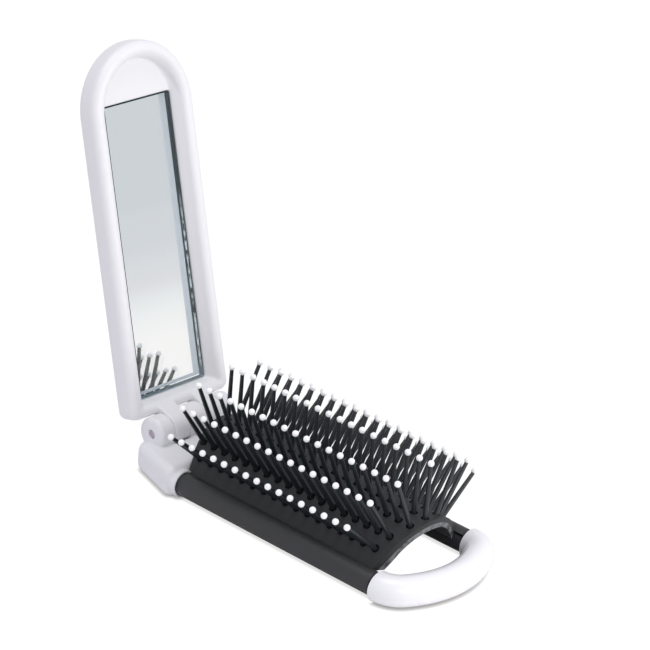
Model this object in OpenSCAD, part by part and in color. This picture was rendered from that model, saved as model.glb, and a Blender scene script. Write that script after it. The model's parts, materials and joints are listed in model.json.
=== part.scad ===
// Pocket folding hairbrush with a mirror in its cover, drawn open.
// Millimetres, +Z up. The origin is on the ground under the middle of the hinge:
// +X runs across the brush, -Y from the hinge along the rails to the end loop.

/* [Frame] */
// Overall width, across the end loop
frame_w = 42; // [40:0.5:48]
// Distance from the hinge axis to the loop's end of the rails
rail_reach = 82.6; // [78:0.5:90]
// Diameter of a side rail
rail_d = 6.2; // [5.8:0.1:7]
// Bore of a side rail
rail_bore_d = 3.8; // [3:0.1:4]
// Wall that stays over a rail's bore, under the edge of the pad
rail_wall = 0.28; // [0.25:0.01:0.5]
// Diameter of the end loop's tube
loop_d = 7.9; // [7:0.1:9]
// Distance that the middle of the loop's tube bows out past the rails
loop_bow = 9.4; // [8.5:0.1:12]
// Radius of the loop's corners, on the middle of its tube
loop_corner_r = 6.5; // [5:0.1:7.5]
// Length of the pegs of the loop and of the hinge block inside the rails
peg_len = 8; // [5:0.5:12]

/* [Hinge block] */
// Distance from the hinge axis forward to the block's front face
block_front = 15; // [14:0.1:18]
// Distance from the hinge axis back to the block's rear face
block_rear = 3.4; // [3:0.1:3.6]
// Width of the block at its front
block_front_w = 41.2; // [41:0.1:46]
// Width of the block at its rear
block_rear_w = 33; // [31:0.2:38]
// Height of the block at its front
block_front_h = 8.5; // [8:0.1:9]
// Height of the block at its rear
block_rear_h = 7.9; // [7.8:0.1:9]
// Radius of the block's upright corners at its front
front_corner_r = 2.4; // [2.3:0.1:4]
// Radius of the block's upright corners at its rear
rear_corner_r = 3.6; // [2.3:0.1:4]
// Radius that rounds the block's edges
block_round = 2.2; // [1:0.1:2.3]
// Depth of the seats that the rails' ends stand in
socket_depth = 1; // [0.6:0.1:1.5]
// Stand-out of the lip round each seat
socket_lip = 1; // [0.3:0.1:1.5]
// Wall of the lip round each seat
socket_lip_wall = 0.4; // [0.3:0.05:0.6]

/* [Hinge] */
// Height of the hinge axis above the ground
hinge_h = 10.5; // [9.8:0.1:12]
// Radius of the hinge's knuckles
knuckle_r = 4.4; // [3.8:0.1:4.5]
// Width across the three ears of the block
hinge_w = 27.4; // [25:0.2:29]
// Width of each outer ear
outer_ear_w = 4.7; // [3.6:0.1:5]
// Width of the middle ear
middle_ear_w = 6.2; // [4:0.1:7]
// Radius that rounds the outer face of each outer ear
ear_round = 1.2; // [0.5:0.1:1.5]
// Side gap between an ear and the knuckle next to it
ear_gap = 0.15; // [0.1:0.05:0.3]
// Diameter of the hinge pin
pin_d = 2.4; // [1.8:0.1:2.8]
// Radial clearance of the hinge pin in its holes
pin_clearance = 0.05; // [0.03:0.01:0.08]
// Distance that each end of the pin lies inside the outer ears
pin_inset = 1; // [0.4:0.1:1.5]
// Angle that the cover stands open, from closed
open_angle = 105; // [95:1:120]

/* [Cover] */
// Width of the cover
cover_w = 35; // [34.6:0.1:38]
// Distance from the hinge axis to the tip of the cover's arch
cover_tip = 100; // [97:0.5:110]
// Distance from the hinge axis to the cover's lower edge
cover_foot = 3.9; // [3.8:0.1:5]
// Thickness of the cover
cover_t = 6.8; // [6.6:0.1:9]
// Distance that the front of the rim lies behind the hinge axis
rim_set = 1.2; // [0.8:0.1:1.5]
// Width of the rounded rim along the sides and the arch
rim_w = 4.4; // [4:0.1:5]
// Width of the rounded rim along the lower edge
foot_rim_w = 3.4; // [3:0.1:3.6]
// Radius of the cover's back edges
back_round = 1.9; // [1:0.1:2.2]
// Slope of the rim's inner sides, from the plane of the mirror
side_slope = 53; // [50:1:60]
// Slope of the inner side of the lower rim
foot_slope = 70; // [60:1:80]
// Depth of the tray, from the front of the rim to its floor
tray_depth = 3.4; // [2.6:0.1:3.6]
// Distance that the tray's inner arch stands past the middle of the outer arch
arch_offset = 1.7; // [1:0.1:2]
// Depth of the mirror's bed in the floor of the tray
bed_depth = 1.9; // [1.7:0.05:2.2]

/* [Mirror] */
// Width of the mirror
mirror_w = 23; // [21:0.1:23.2]
// Length of the mirror
mirror_len = 76.4; // [70:0.1:76.6]
// Distance from the hinge axis to the mirror's lower edge
mirror_foot = 8.4; // [8.3:0.1:9]
// Thickness of the glass
glass_t = 1.8; // [1.6:0.1:2]
// Thickness of the silvering and its backing paint
silver_t = 0.12; // [0.08:0.02:0.2]
// Thickness of the tape that holds the mirror
tape_t = 0.3; // [0.2:0.05:0.5]
// Radius of the glass corners
glass_corner_r = 0.4; // [0.2:0.1:1]
// Gap round the mirror in its bed
bed_gap = 0.1; // [0.05:0.05:0.2]
// Distance that the tape lies inside the mirror's edges
tape_inset = 1.5; // [1:0.1:3]

/* [Bristle pad] */
// Radius of the pad's outer surface along its crown
pad_r = 15; // [14.6:0.1:15.4]
// Height of the pad's crown above the ground
pad_top = 16.2; // [16:0.1:16.4]
// Length of the pad along its crown
pad_len = 72; // [71:0.5:72.5]
// Distance from the hinge axis to the middle of the pad
pad_mid = 47.4; // [47:0.1:47.8]
// Radius of the pad's bowed ends, seen from above
pad_end_r = 28; // [28:1:40]
// Angle from the crown at which the pad's straight flanks begin
flank_angle = 50; // [49:0.5:51]
// Height of the pad's edges above the ground
pad_edge_z = 5.8; // [5.7:0.05:6]
// Thickness of the upper sheet
deck_t = 1.2; // [1:0.05:1.4]
// Thickness of the lower sheet, which carries the pins
carrier_t = 1.25; // [1.2:0.05:1.5]
// Clearance of the pad's edges in the slots of the rails
slot_gap = 0.06; // [0.05:0.01:0.1]

/* [Bristles] */
// Distance between the pins of a row
pin_pitch = 3.75; // [3.3:0.05:3.8]
// Free length of a bristle, from the pad to the middle of its ball
bristle_len = 14.9; // [12:0.1:18]
// Diameter of a bristle at its root
root_d = 1.4; // [1.1:0.05:1.6]
// Diameter of a bristle at its ball
tip_d = 1; // [0.7:0.05:1.1]
// Diameter of a ball tip
ball_d = 1.7; // [1.3:0.05:2]
// Diameter of the holes in the upper sheet
deck_hole_d = 2.1; // [1.8:0.05:2.3]
// Depth that a root is set in the lower sheet
root_depth = 0.8; // [0.5:0.05:0.9]
// Clearance round a root in the lower sheet
root_gap = 0.02; // [0.01:0.01:0.05]

/* [Hidden] */
$fn = 64;

// Rows of bristles, from the middle row outwards: how many, where and how they lean
row_count = [19, 19, 18, 17];
row_x = [0, 4.8, 9.3, 12.2];
row_lean = [0, 25.3, 35.7, 49.8];
row_shift = [-0.2, 0.4, 0.8, 0.7];

// How far a cutting shape reaches past what it cuts
spare = 1;
// How far a peg is rooted in the block that carries it
peg_root = 1;

rail_x = (frame_w - loop_d) / 2;
rail_z = loop_d / 2;
rail_r = rail_d / 2;
peg_clearance = 0.05;
peg_r = rail_bore_d / 2 - peg_clearance;
socket_clearance = 0.05;
loop_edge_round = 0.8;
bend_centre_x = rail_x - loop_corner_r;
// Front arc of the loop: tangent to both corner arcs, its middle loop_bow past the rails
bow_r = (bend_centre_x^2 + loop_bow^2 - loop_corner_r^2) / (2 * (loop_bow - loop_corner_r));
corner_angle = atan2(bow_r - loop_bow, bend_centre_x);
// A short straight length joins the arcs, so the front arc's radius gives way a little
bow_link = 0.4;
link_in = 0.25;
link_step = 0.04;
front_r = bow_r - bow_link * tan(corner_angle);
front_centre = (front_r - loop_corner_r) * sin(corner_angle) - bow_link * cos(corner_angle);

pad_centre_z = pad_top - pad_r;
// The flanks lie a little inside the arch, so that they cross it instead of touching it
flank_inset = 0.02;
flank_w = 8;
flank_x = (pad_r - flank_inset) * sin(flank_angle);
flank_z = pad_centre_z + (pad_r - flank_inset) * cos(flank_angle);
pad_edge_x = flank_x + (flank_z - pad_edge_z) / tan(flank_angle);
pad_inner_r = pad_r - deck_t - carrier_t;
ear_inner = hinge_w / 2 - outer_ear_w;
knuckle_room = 0.35;
web_angle = 20;
knuckle_w = ear_inner - middle_ear_w / 2 - 2 * ear_gap;
knuckle_x = (ear_inner + middle_ear_w / 2) / 2;
pin_bore_r = pin_d / 2 + pin_clearance;
pin_len = hinge_w - 2 * pin_inset;

rim_r = rim_w / 2;
arch_r = cover_w / 2 - rim_r;
arch_h = cover_tip - cover_w / 2;
foot_r = foot_rim_w / 2;
inner_arch_h = arch_h + arch_offset;
cover_back = rim_set + cover_t;
tray_floor = rim_set + tray_depth;
bed_floor = tray_floor + bed_depth;
glass_front = bed_floor - tape_t - silver_t - glass_t;
overlap = 0.01;
// The slope lies a little inside the rim's round front, so that it crosses it
slope_inset = 0.03;
pad_gap = 0.25;
// How far the bed's cut starts in front of the glass
bed_reach = 0.2;
// Corners of the webs that join the knuckles to the lower rim
web_lift = 0.3;
web_tuck = 0.8;
web_foot = 0.4;
web_step = 0.1;

// ---- helpers ----

// Places a child drawn with Z along the brush, so that its Z runs to +Y
module along_y(from) {
  translate([0, from, 0]) rotate([-90, 0, 0]) mirror([0, 1, 0]) children();
}

// Turns a child about the hinge axis and stands it open.
// Cover space: X across, Y up along the cover from the hinge axis, Z back from the axis.
module on_cover() {
  translate([0, 0, hinge_h]) rotate([180 - open_angle, 0, 0]) mirror([0, 0, 1]) children();
}

// A round bar along X, centred
module bar_x(r, w, x = 0) {
  translate([x, 0, 0]) rotate([0, 90, 0]) cylinder(r = r, h = w, center = true);
}

// ---- frame ----

// A round bar along Z from 0 to h with its far edge rounded
module round_end(r, h, edge) {
  rotate_extrude() {
    square([r, h - edge]);
    square([r - edge, h]);
    translate([r - edge, h - edge]) intersection() {
      circle(r = edge);
      square([edge, edge]);
    }
  }
}

// Rounded end of the loop's tube and the peg that plugs into the rail
module tube_end(side) {
  translate([side * rail_x, -rail_reach - overlap, rail_z]) rotate([-90, 0, 0]) {
    round_end(loop_d / 2, loop_edge_round + overlap, loop_edge_round);
    cylinder(r = peg_r, h = loop_edge_round + peg_len);
  }
}

// Corner of the loop, from the rail's end round to the front arc
module loop_corner(side) {
  translate([side * bend_centre_x, -rail_reach, rail_z])
    mirror([side > 0 ? 0 : 1, 0, 0]) rotate([0, 0, -corner_angle]) {
      rotate_extrude(angle = corner_angle) translate([loop_corner_r, 0]) circle(d = loop_d);
      translate([loop_corner_r, 0, 0]) rotate([90, 0, 0])
        translate([0, 0, -link_in]) cylinder(r = loop_d / 2 - link_step, h = bow_link + 2 * link_in);
    }
}

module end_loop() {
  color("whitesmoke") {
    for (side = [-1, 1]) {
      tube_end(side);
      loop_corner(side);
    }
    translate([0, front_centre - rail_reach, rail_z]) rotate([0, 0, 180 + corner_angle])
      rotate_extrude(angle = 180 - 2 * corner_angle) translate([front_r, 0]) circle(d = loop_d);
  }
}

// A long bar under an arched surface of the radius r with straight flanks
module arched_bar(r) {
  bar_len = max(rail_reach, pad_mid + pad_len / 2) + 2 * spare;
  x1 = (r - flank_inset) * sin(flank_angle);
  z1 = (r - flank_inset) * cos(flank_angle);
  x2 = x1 + flank_w * cos(flank_angle);
  z2 = z1 - flank_w * sin(flank_angle);
  translate([0, 0, pad_centre_z]) {
    translate([0, -bar_len, 0]) rotate([-90, 0, 0]) cylinder(r = r, h = bar_len, $fn = 128);
    along_y(-bar_len) linear_extrude(bar_len)
      polygon([[-x1, z1], [x1, z1], [x2, z2], [-x2, z2]]);
  }
}

// The pad's sheets from radius r1 to r2, as a long arched strip that ends at the height edge_z
module sheet_strip(r1, r2, edge_z) {
  cut_x = flank_x + flank_w;
  cut_len = max(rail_reach, pad_mid + pad_len / 2) + 4 * spare;
  difference() {
    arched_bar(r2);
    arched_bar(r1);
    translate([-cut_x, spare - cut_len, -pad_r]) cube([2 * cut_x, cut_len, pad_r + edge_z]);
  }
}

// The bore of a rail with the wall that stays round it
module bore_wall(side, grow = 0) {
  wall_len = rail_reach + 2 * spare;
  translate([side * rail_x, -wall_len, rail_z]) rotate([-90, 0, 0])
    cylinder(r = rail_bore_d / 2 + rail_wall + grow, h = wall_len);
}

module rail(side) {
  rail_len = rail_reach - block_front + socket_depth - loop_edge_round;
  color([0.22, 0.22, 0.24]) difference() {
    translate([side * rail_x, -rail_reach + loop_edge_round, rail_z]) rotate([-90, 0, 0])
      cylinder(r = rail_r, h = rail_len);
    translate([side * rail_x, -rail_reach, rail_z]) rotate([-90, 0, 0])
      cylinder(d = rail_bore_d, h = rail_len + 2 * spare);
    difference() {
      sheet_strip(pad_inner_r - slot_gap, pad_r + slot_gap, pad_edge_z - slot_gap);
      bore_wall(side);
    }
  }
}
module rail_left() { rail(-1); }
module rail_right() { rail(1); }

// ---- hinge block ----

// Upright corner of the block, with rounded edges
module block_post(x, y, r, h) {
  for (z = [block_round, h - block_round]) translate([x, y, z]) rotate_extrude($fn = 32)
    intersection() {
      translate([r - block_round, 0]) circle(r = block_round, $fn = 20);
      translate([0, -block_round]) square([r, 2 * block_round]);
    }
}

module block_body() {
  front_x = block_front_w / 2 - front_corner_r;
  rear_x = block_rear_w / 2 - rear_corner_r;
  hull() for (side = [-1, 1]) {
    block_post(side * front_x, front_corner_r - block_front, front_corner_r, block_front_h);
    block_post(side * rear_x, block_rear - rear_corner_r, rear_corner_r, block_rear_h);
  }
}

// Room in the block's front for the end of the bristle pad
module pad_room() {
  intersection() {
    union() {
      arched_bar(pad_r + pad_gap);
      translate([-pad_edge_x - pad_gap, -pad_mid, -spare])
        cube([2 * (pad_edge_x + pad_gap), pad_mid, pad_edge_z + 1.5 * spare]);
    }
    translate([0, -pad_mid, -spare]) linear_extrude(pad_top + 2 * spare) pad_plan(pad_gap);
  }
}

module outer_ear(side) {
  translate([side * ear_inner, 0, hinge_h]) rotate([0, side * 90, 0])
    round_end(knuckle_r, outer_ear_w, ear_round);
}

module hinge_block() {
  room_w = knuckle_w + 2 * ear_gap;
  seat_y = -block_front + socket_depth;
  color("whitesmoke") {
    difference() {
      union() {
        difference() {
          block_body();
          for (side = [-1, 1]) translate([0, 0, hinge_h])
            bar_x(knuckle_r + knuckle_room, room_w, side * knuckle_x);
        }
        translate([0, 0, hinge_h]) bar_x(knuckle_r, middle_ear_w);
        for (side = [-1, 1]) {
          outer_ear(side);
          translate([side * rail_x, seat_y, rail_z]) rotate([90, 0, 0])
            cylinder(r = rail_r + socket_lip_wall, h = socket_depth + socket_lip);
        }
      }
      translate([0, 0, hinge_h]) bar_x(pin_bore_r, hinge_w + 2 * spare);
      for (side = [-1, 1]) translate([side * rail_x, seat_y, rail_z]) rotate([90, 0, 0])
        cylinder(r = rail_r + socket_clearance, h = socket_depth + socket_lip + spare);
      pad_room();
    }
    for (side = [-1, 1]) translate([side * rail_x, seat_y + peg_root, rail_z])
      rotate([90, 0, 0]) cylinder(r = peg_r, h = peg_len + peg_root);
  }
}

module hinge_pin() {
  color("silver") translate([0, 0, hinge_h]) bar_x(pin_d / 2, pin_len);
}

// ---- bristle pad ----

// Outline of the pad seen from above: straight sides and bowed ends
module pad_plan(grow = 0) {
  r = pad_end_r + grow;
  arc_y = pad_len / 2 - pad_end_r;
  square([2 * r, 2 * arc_y], center = true);
  for (side = [-1, 1]) translate([0, side * arc_y]) circle(r = r, $fn = 160);
}

module sheet(r1, r2) {
  intersection() {
    difference() {
      sheet_strip(r1, r2, pad_edge_z);
      for (side = [-1, 1]) bore_wall(side, slot_gap);
    }
    translate([0, -pad_mid, 0]) linear_extrude(pad_top + spare) pad_plan();
  }
}

// Height of the pad's outer surface at a distance x from the middle of the brush
function pad_z(x) = let(arch = pad_centre_z + sqrt(pad_r^2 - x^2))
  x < flank_x ? arch : max(arch, flank_z - (x - flank_x) * tan(flank_angle));

// Sets a child at every bristle of a row, its Z along the bristle from the pad's surface.
// The rows run from 1 on the left to 7 on the right.
module at_bristles(row) {
  side = row < 4 ? -1 : 1;
  k = abs(row - 4);
  first = -pad_mid + row_shift[k] - (row_count[k] - 1) / 2 * pin_pitch;
  for (i = [0:row_count[k] - 1])
    translate([side * row_x[k], first + i * pin_pitch, pad_z(row_x[k])])
      rotate([0, side * row_lean[k], 0]) children();
}

module deck_sheet() {
  color([0.16, 0.16, 0.17]) difference() {
    sheet(pad_r - deck_t, pad_r);
    for (row = [1:7]) at_bristles(row)
      translate([0, 0, -2 * deck_t]) cylinder(d = deck_hole_d, h = 4 * deck_t, $fn = 24);
  }
}

module pin_carrier() {
  color([0.12, 0.12, 0.13]) difference() {
    sheet(pad_inner_r, pad_r - deck_t - root_gap);
    for (row = [1:7]) at_bristles(row) translate([0, 0, -deck_t - root_depth])
      cylinder(d = root_d + 2 * root_gap, h = 2 * root_depth, $fn = 24);
  }
}

module bristle_row(row) {
  color([0.08, 0.08, 0.09]) at_bristles(row) {
    translate([0, 0, -deck_t - root_depth])
      cylinder(d = root_d, h = deck_t + root_depth + overlap, $fn = 24);
    cylinder(d1 = root_d, d2 = tip_d, h = bristle_len, $fn = 24);
  }
}

module ball_tips(row) {
  color("white") at_bristles(row) difference() {
    translate([0, 0, bristle_len]) sphere(d = ball_d, $fn = 24);
    cylinder(d1 = root_d, d2 = tip_d, h = bristle_len, $fn = 24);
  }
}

// ---- cover ----

// Sections of the rim: X outwards from the middle of the cover, Y back from the hinge axis.
// A round front, a side wall and a rounded back edge.
module rim_section(mid, r) {
  front = rim_set + r;
  translate([mid, front]) circle(r = r);
  translate([mid - r, front]) square([2 * r, cover_back - back_round - front]);
  translate([mid - r, front]) square([2 * r - back_round, cover_back - front]);
  translate([mid + r - back_round, cover_back - back_round]) circle(r = back_round);
}

// Sloped inner side between the round front of the rim and the tray's floor
module slope_section(mid, r, slope) {
  top_x = mid - (r - slope_inset) * sin(slope);
  top_y = rim_set + r - (r - slope_inset) * cos(slope);
  foot_x = top_x - (tray_floor - top_y) / tan(slope);
  polygon([[mid, rim_set + r], [top_x, top_y], [foot_x, tray_floor], [foot_x, cover_back],
           [mid, cover_back]]);
}

module rim_side(side) {
  side_h = cover_foot + rim_r;
  mirror([side > 0 ? 0 : 1, 0, 0]) {
    translate([0, side_h, 0]) rotate([90, 0, 0]) mirror([0, 0, 1])
      linear_extrude(arch_h - side_h) rim_section(arch_r, rim_r);
    translate([0, cover_foot + foot_r, 0]) rotate([90, 0, 0]) mirror([0, 0, 1])
      linear_extrude(inner_arch_h - cover_foot - foot_r)
        slope_section(arch_r, rim_r, side_slope);
  }
}

module rim_arch() {
  translate([0, arch_h, 0]) rotate_extrude(angle = 180, $fn = 128)
    rim_section(arch_r, rim_r);
  translate([0, inner_arch_h, 0]) rotate_extrude(angle = 180, $fn = 128)
    slope_section(arch_r, rim_r, side_slope);
}

// Quarter turn at a lower corner of the rim
module rim_corner(side) {
  mirror([side > 0 ? 0 : 1, 0, 0]) translate([arch_r, cover_foot + rim_r, 0])
    rotate([0, 0, -90]) rotate_extrude(angle = 90) intersection() {
      rim_section(0, rim_r);
      square([rim_r + spare, cover_back + spare]);
    }
}

// The lower rim, its sections turned to face down the cover
module rim_foot() {
  translate([-arch_r, cover_foot + foot_rim_w, 0]) rotate([90, 0, 90])
    linear_extrude(2 * arch_r) mirror([1, 0]) {
      rim_section(foot_r, foot_r);
      slope_section(foot_r, foot_r, foot_slope);
    }
}

module tray_plate() {
  translate([0, 0, tray_floor]) linear_extrude(cover_back - tray_floor) {
    translate([-arch_r, cover_foot + foot_r]) square([2 * arch_r, arch_h - cover_foot - foot_r]);
    translate([0, arch_h]) circle(r = arch_r, $fn = 128);
  }
}

// A hinge knuckle with the web that joins it to the lower rim
module knuckle(x) {
  web_h = cover_foot + foot_rim_w - web_tuck;
  bar_x(knuckle_r, knuckle_w, x);
  translate([x - knuckle_w / 2, 0, 0]) rotate([0, 90, 0]) linear_extrude(knuckle_w)
    polygon([[0, 0], [knuckle_r * sin(web_angle), knuckle_r * cos(web_angle)],
             [-rim_set - web_lift, web_h], [-rim_set - foot_r, web_h],
             [-rim_set - foot_r, cover_foot + web_foot], [-rim_set * 2, knuckle_r - web_step]]);
}

module mirror_plate(t, grow = 0) {
  w = mirror_w + 2 * grow;
  l = mirror_len + 2 * grow;
  r = glass_corner_r;
  translate([-w / 2, mirror_foot - grow, 0]) linear_extrude(t) {
    translate([r, 0]) square([w - 2 * r, l]);
    translate([0, r]) square([w, l - 2 * r]);
    for (x = [r, w - r], y = [r, l - r]) translate([x, y]) circle(r = r, $fn = 24);
  }
}

module cover_shell() {
  color("whitesmoke") on_cover() difference() {
    union() {
      tray_plate();
      rim_arch();
      for (side = [-1, 1]) {
        rim_side(side);
        rim_corner(side);
        knuckle(side * knuckle_x);
      }
      rim_foot();
    }
    bar_x(pin_bore_r, hinge_w);
    translate([0, 0, glass_front - bed_reach])
      mirror_plate(bed_floor - glass_front + bed_reach, bed_gap);
  }
}

module mirror_tape() {
  color("lightgray") on_cover() translate([0, 0, bed_floor - tape_t])
    mirror_plate(tape_t, -tape_inset);
}

module mirror_silvering() {
  color([0.75, 0.78, 0.8]) on_cover() translate([0, 0, bed_floor - tape_t - silver_t])
    mirror_plate(silver_t);
}

module mirror_glass() {
  color([0.6, 0.75, 0.78]) on_cover() translate([0, 0, glass_front]) mirror_plate(glass_t);
}

end_loop();
rail_left();
rail_right();
hinge_block();
deck_sheet();
pin_carrier();
for (row = [1:7]) {
  bristle_row(row);
  ball_tips(row);
}
hinge_pin();
cover_shell();
mirror_tape();
mirror_silvering();
mirror_glass();
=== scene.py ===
"""A pocket folding hairbrush with a mirror in its cover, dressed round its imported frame."""

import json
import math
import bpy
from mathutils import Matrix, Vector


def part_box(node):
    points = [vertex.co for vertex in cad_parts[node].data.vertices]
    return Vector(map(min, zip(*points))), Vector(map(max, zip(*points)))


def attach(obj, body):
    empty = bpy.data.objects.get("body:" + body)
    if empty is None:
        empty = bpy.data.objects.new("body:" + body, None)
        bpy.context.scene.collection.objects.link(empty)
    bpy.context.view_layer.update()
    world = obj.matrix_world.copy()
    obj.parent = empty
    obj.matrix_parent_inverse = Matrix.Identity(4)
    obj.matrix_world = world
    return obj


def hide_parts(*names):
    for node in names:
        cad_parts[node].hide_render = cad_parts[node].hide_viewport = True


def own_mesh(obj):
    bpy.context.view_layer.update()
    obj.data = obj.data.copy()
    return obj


bl_info = {
    "name": "Folding hairbrush",
    "version": (1, 0, 0),
    "blender": (4, 5, 0),
    "location": "View3D > Sidebar > Hairbrush",
    "description": "Builds a folding hairbrush piece by piece, with its finishes and its stage",
    "category": "Object",
}

import bmesh
import bpy
from mathutils import Matrix, Vector

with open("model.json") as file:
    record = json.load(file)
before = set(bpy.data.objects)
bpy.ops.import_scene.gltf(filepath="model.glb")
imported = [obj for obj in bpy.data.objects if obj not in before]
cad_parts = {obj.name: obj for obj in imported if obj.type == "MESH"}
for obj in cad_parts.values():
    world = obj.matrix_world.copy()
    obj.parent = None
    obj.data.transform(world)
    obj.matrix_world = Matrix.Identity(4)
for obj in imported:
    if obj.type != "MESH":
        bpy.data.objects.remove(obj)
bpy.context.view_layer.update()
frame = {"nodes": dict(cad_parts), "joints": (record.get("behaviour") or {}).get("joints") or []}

MM = 0.001
FRAME_BODY = "brush_frame"
PIN_BODY = "hinge_pin"
COVER_BODY = "mirror_cover"
FOLD_JOINT = next(joint for joint in frame["joints"] if joint["name"] == "cover_fold")
HINGE = Vector(FOLD_JOINT["pos_m"])
OPEN_ANGLE = math.radians(-FOLD_JOINT["range_deg"][0])
PAD_EDGE_Z = FOLD_JOINT["deforming_nodes"][0]["fixed_end_z_m"]

# Fits and small roundings
NOTCH_DROP = 0.06 * MM
NOTCH_GAP = 0.08 * MM
NOTCH_WIDTH = 8 * MM
LIP_ROUNDING = 0.15 * MM
PIN_ROUNDING = 0.2 * MM

# Bounds of the marks on the glass edge: heights of the chips' painted glints and of the paler foot,
# and the glints' depth
CHIP_GLINTS_FADE = (66 * MM, 56 * MM)
FOOT_FADE = (19 * MM, 21 * MM)
CHIP_GLINTS_DEPTH = (0.75 * MM, 0.55 * MM)

# The stage: distances in metres, light as strength or colour
FLOOR_SIZE = 24
FLOOR_DROP = 0.02 * MM
FLOOR_MATT = (0.9, 0.9, 0.9)
FLOOR_SEEN_STRENGTH = 1.05
FLOOR_SEEN_SHARE = 0.96
CONTACT_REACH = 1.15 * MM
CONTACT_SHADE = (0.26, 0.24, 0.235)
MIRRORED_CLEAR = (0.09, 0.16)
MIRRORED_FADE = (0.6, 3.6)
MIRRORED_NEAR = (1.08, 1.02, 0.99)
MIRRORED_FAR = (0.76, 0.75, 0.77)
MIRRORED_BETWEEN = ((0.12, (1.0, 0.97, 0.95)), (0.32, (0.84, 0.81, 0.82)))
WORLD_SOFT = (0.562, 0.555, 0.615)
WORLD_MIRRORED = (0.72, 0.722, 0.74)
WORLD_SEEN = (1, 1, 1)
LAMPS = (
    # name, place, size, power and tint
    ("key", (0.34, -0.80, 0.26), 0.5, 2.25, (1.0, 0.985, 0.94)),
    ("top", (-0.08, 0.0, 0.70), 0.4, 1.3, (1.0, 1.0, 1.0)),
    ("front", (-0.12, -0.38, 0.16), 0.15, 0.19, (1.0, 1.0, 1.0)),
)
LAMP_AIM = Vector((0, -40, 30)) * MM

# The rows from the middle outwards, in mm and degrees: number of bristles, distance of their roots
# from the middle, lean and shift along the brush
ROWS = (
    {"count": 19, "out": 0.0, "lean": 0.0, "shift": -0.2},
    {"count": 19, "out": 4.8, "lean": 25.3, "shift": 0.4},
    {"count": 18, "out": 9.3, "lean": 35.7, "shift": 0.8},
    {"count": 17, "out": 12.2, "lean": 49.8, "shift": 0.7},
)
ROW_NUMBERS = range(1, 8)
MIDDLE_ROW = 4


def length(name, value, description):
    """A length property in metres, shown in the scene's units."""
    return bpy.props.FloatProperty(
        name=name, description=description, default=value * MM, min=0.0, unit="LENGTH"
    )


def colour(name, value, description):
    return bpy.props.FloatVectorProperty(
        name=name, description=description, default=value, size=3, min=0.0, max=1.0, subtype="COLOR"
    )


class BrushSizes(bpy.types.PropertyGroup):
    """Sizes that the frame's boxes don't give."""

    loop_bow: length("Loop bow", 9.4, "How far the middle of the loop's tube bows past the rails")
    loop_corner: length("Loop corner", 6.5, "Radius of the loop's corners on the middle of its tube")
    loop_edge: length("Loop edge", 0.8, "Rounding of the loop's tube where it meets a rail")
    rail_edge: length("Rail edge", 0.25, "Rounding of the rails' ends")
    pad_radius: length("Pad radius", 15.0, "Radius of the pad's crown")
    pad_length: length("Pad length", 72.0, "Length of the pad along its crown")
    pad_end_radius: length("Pad end radius", 28.0, "Radius of the pad's bowed ends, seen from above")
    pad_middle: length("Pad middle", 47.4, "Distance from the hinge axis to the middle of the pad")
    flank_inset: length("Flank inset", 0.02, "How far the pad's flanks lie inside its crown's arc")
    pin_pitch: length("Bristle pitch", 3.75, "Distance between the bristles of a row")
    bristle_length: length("Bristle length", 14.9, "Free length from the pad to the ball's middle")
    root_width: length("Root width", 1.4, "Diameter of a bristle at the pad")
    tip_width: length("Tip width", 1.0, "Diameter of a bristle at its ball")
    root_depth: length("Root depth", 2.0, "How deep a bristle is set below the pad's surface")
    ball_width: length("Ball width", 1.7, "Diameter of the ball on a bristle")
    glass_bevel: length("Glass bevel", 0.12, "Ground edge of the mirror's glass")
    # Painted light: the strips below are glowing strips painted on the silvering
    glow_width: length("Edge glow", 2.1, "Width of the pale strip that the glass edge throws back")
    glow_inset: length("Glow inset", 0.95, "Distance of the pale strip from the mirror's edge")
    foot_glow_width: length("Foot glow", 0.9, "Height of the pale strip along the mirror's foot")
    foot_glow_inset: length("Foot glow inset", 0.75, "Distance of the foot's strip from the edge")
    seat_gap: length("Seat gap", 0.05, "Gap between a rail and its seat in the hinge block")
    lip_wall: length("Lip wall", 0.5, "Wall of the lip round each rail's seat")
    lip_length: length("Lip length", 2.2, "Length of the lip round each rail's seat")
    cover_voxel: length("Cover detail", 0.34, "Finest detail of the cover's surface")
    block_voxel: length("Block detail", 0.24, "Finest detail of the hinge block's surface")
    flank_angle: bpy.props.FloatProperty(
        name="Flank angle", description="Angle from the crown at which the pad's flanks begin",
        default=math.radians(50), subtype="ANGLE",
    )


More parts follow.
